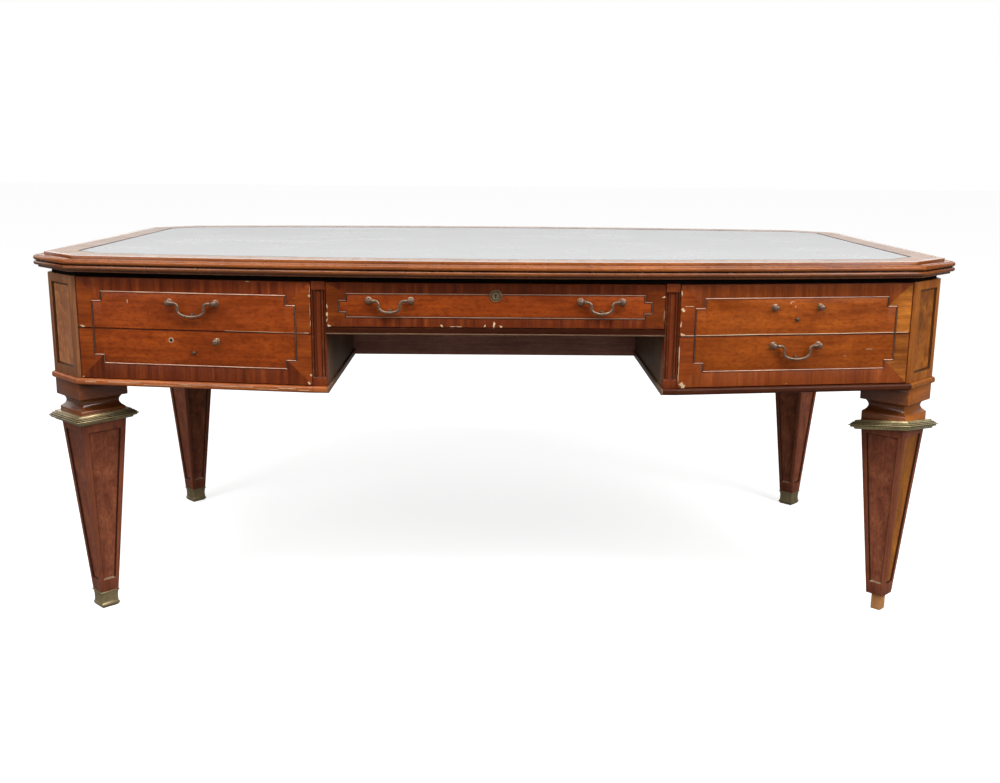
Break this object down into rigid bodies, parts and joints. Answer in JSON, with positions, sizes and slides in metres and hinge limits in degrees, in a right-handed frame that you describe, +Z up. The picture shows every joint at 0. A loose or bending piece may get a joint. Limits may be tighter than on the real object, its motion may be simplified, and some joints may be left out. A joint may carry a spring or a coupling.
{
  "type": "partners desk",
  "caption": "Two-sided kneehole desk with a bowed, cut-cornered leather top, drawers with brass drop handles on both long sides, and square tapered legs with brass collars and shoes.",
  "frame": {"origin": "on the floor under the middle of the desk", "axes": "+X along the desk to the right as seen from the front, the front faces -Y, +Z up"},
  "size_m": [1.904, 1.0996, 0.772],
  "materials": {
    "mahogany": "polished",
    "veneer": "polished",
    "ebonised_wood": "matt",
    "carcase_wood": "raw",
    "drawer_lining": "raw",
    "brass": "antique",
    "leather": "worn"
  },
  "bodies": {
    "desk": {"top_board": "mahogany", "top_edge_moulding": "mahogany", "leather_inset": "leather", "frieze_rails": "ebonised_wood", "end_panels": "veneer", "corner_posts": "mahogany", "stiles": "mahogany", "kneehole_panels": "mahogany", "inner_partitions": "mahogany", "pedestal_floors": "carcase_wood", "drawer_dividers": "carcase_wood", "drawer_runners": "carcase_wood", "kneehole_rails": "mahogany", "base_moulding": "mahogany", "legs": "mahogany", "leg_dowels": "carcase_wood", "leg_collars": "brass", "sabots": "brass"},
    "front_centre_drawer": {"front_centre_front": "veneer", "front_centre_tray": "drawer_lining", "front_centre_fittings": "brass"},
    "front_lock_bolt": {"front_lock_bolt": "brass"},
    "front_centre_left_bail": {"front_centre_left_bail": "brass"},
    "front_centre_right_bail": {"front_centre_right_bail": "brass"},
    "front_left_upper_drawer": {"front_left_upper_front": "veneer", "front_left_upper_tray": "drawer_lining", "front_left_upper_fittings": "brass"},
    "front_left_upper_bail": {"front_left_upper_bail": "brass"},
    "front_left_lower_drawer": {"front_left_lower_front": "veneer", "front_left_lower_tray": "drawer_lining", "front_left_lower_fittings": "brass"},
    "front_right_upper_drawer": {"front_right_upper_front": "veneer", "front_right_upper_tray": "drawer_lining", "front_right_upper_fittings": "brass"},
    "front_right_lower_drawer": {"front_right_lower_front": "veneer", "front_right_lower_tray": "drawer_lining", "front_right_lower_fittings": "brass"},
    "front_right_lower_bail": {"front_right_lower_bail": "brass"},
    "back_centre_drawer": {"back_centre_front": "veneer", "back_centre_tray": "drawer_lining", "back_centre_fittings": "brass"},
    "back_lock_bolt": {"back_lock_bolt": "brass"},
    "back_centre_left_bail": {"back_centre_left_bail": "brass"},
    "back_centre_right_bail": {"back_centre_right_bail": "brass"},
    "back_left_upper_drawer": {"back_left_upper_front": "veneer", "back_left_upper_tray": "drawer_lining", "back_left_upper_fittings": "brass"},
    "back_left_upper_bail": {"back_left_upper_bail": "brass"},
    "back_left_lower_drawer": {"back_left_lower_front": "veneer", "back_left_lower_tray": "drawer_lining", "back_left_lower_fittings": "brass"},
    "back_left_lower_bail": {"back_left_lower_bail": "brass"},
    "back_right_upper_drawer": {"back_right_upper_front": "veneer", "back_right_upper_tray": "drawer_lining", "back_right_upper_fittings": "brass"},
    "back_right_upper_bail": {"back_right_upper_bail": "brass"},
    "back_right_lower_drawer": {"back_right_lower_front": "veneer", "back_right_lower_tray": "drawer_lining", "back_right_lower_fittings": "brass"},
    "back_right_lower_bail": {"back_right_lower_bail": "brass"}
  },
  "joints": [
    {"name": "front_centre_slide", "type": "slide", "parent": "desk", "child": "front_centre_drawer", "axis": [0, -1, 0], "range_m": [0, 0.27]},
    {"name": "front_bolt_throw", "type": "slide", "parent": "front_centre_drawer", "child": "front_lock_bolt", "axis": [0, 0, 1], "range_m": [0, 0.006]},
    {"name": "front_centre_left_bail_swing", "type": "hinge", "parent": "front_centre_drawer", "child": "front_centre_left_bail", "pos_m": [-0.207, -0.531, 0.695], "axis": [-1, 0, 0], "range_deg": [0, 170]},
    {"name": "front_centre_right_bail_swing", "type": "hinge", "parent": "front_centre_drawer", "child": "front_centre_right_bail", "pos_m": [0.207, -0.531, 0.695], "axis": [-1, 0, 0], "range_deg": [0, 170]},
    {"name": "front_left_upper_slide", "type": "slide", "parent": "desk", "child": "front_left_upper_drawer", "axis": [0, -1, 0], "range_m": [0, 0.3]},
    {"name": "front_left_upper_bail_swing", "type": "hinge", "parent": "front_left_upper_drawer", "child": "front_left_upper_bail", "pos_m": [-0.60237, -0.49746, 0.683], "axis": [-0.9905, 0.1375, 0], "range_deg": [0, 170]},
    {"name": "front_left_lower_slide", "type": "slide", "parent": "desk", "child": "front_left_lower_drawer", "axis": [0, -1, 0], "range_m": [0, 0.3]},
    {"name": "front_right_upper_slide", "type": "slide", "parent": "desk", "child": "front_right_upper_drawer", "axis": [0, -1, 0], "range_m": [0, 0.3]},
    {"name": "front_right_lower_slide", "type": "slide", "parent": "desk", "child": "front_right_lower_drawer", "axis": [0, -1, 0], "range_m": [0, 0.3]},
    {"name": "front_right_lower_bail_swing", "type": "hinge", "parent": "front_right_lower_drawer", "child": "front_right_lower_bail", "pos_m": [0.60237, -0.49746, 0.60675], "axis": [-0.9905, -0.1375, 0], "range_deg": [0, 170]},
    {"name": "back_centre_slide", "type": "slide", "parent": "desk", "child": "back_centre_drawer", "axis": [0, 1, 0], "range_m": [0, 0.27]},
    {"name": "back_bolt_throw", "type": "slide", "parent": "back_centre_drawer", "child": "back_lock_bolt", "axis": [0, 0, 1], "range_m": [0, 0.006]},
    {"name": "back_centre_left_bail_swing", "type": "hinge", "parent": "back_centre_drawer", "child": "back_centre_left_bail", "pos_m": [0.207, 0.531, 0.695], "axis": [1, 0, 0], "range_deg": [0, 170]},
    {"name": "back_centre_right_bail_swing", "type": "hinge", "parent": "back_centre_drawer", "child": "back_centre_right_bail", "pos_m": [-0.207, 0.531, 0.695], "axis": [1, 0, 0], "range_deg": [0, 170]},
    {"name": "back_left_upper_slide", "type": "slide", "parent": "desk", "child": "back_left_upper_drawer", "axis": [0, 1, 0], "range_m": [0, 0.3]},
    {"name": "back_left_upper_bail_swing", "type": "hinge", "parent": "back_left_upper_drawer", "child": "back_left_upper_bail", "pos_m": [0.60237, 0.49746, 0.683], "axis": [0.9905, -0.1375, 0], "range_deg": [0, 170]},
    {"name": "back_left_lower_slide", "type": "slide", "parent": "desk", "child": "back_left_lower_drawer", "axis": [0, 1, 0], "range_m": [0, 0.3]},
    {"name": "back_left_lower_bail_swing", "type": "hinge", "parent": "back_left_lower_drawer", "child": "back_left_lower_bail", "pos_m": [0.60237, 0.49746, 0.60675], "axis": [0.9905, -0.1375, 0], "range_deg": [0, 170]},
    {"name": "back_right_upper_slide", "type": "slide", "parent": "desk", "child": "back_right_upper_drawer", "axis": [0, 1, 0], "range_m": [0, 0.3]},
    {"name": "back_right_upper_bail_swing", "type": "hinge", "parent": "back_right_upper_drawer", "child": "back_right_upper_bail", "pos_m": [-0.60237, 0.49746, 0.683], "axis": [0.9905, 0.1375, 0], "range_deg": [0, 170]},
    {"name": "back_right_lower_slide", "type": "slide", "parent": "desk", "child": "back_right_lower_drawer", "axis": [0, 1, 0], "range_m": [0, 0.3]},
    {"name": "back_right_lower_bail_swing", "type": "hinge", "parent": "back_right_lower_drawer", "child": "back_right_lower_bail", "pos_m": [-0.60237, 0.49746, 0.60675], "axis": [0.9905, 0.1375, 0], "range_deg": [0, 170]}
  ]
}
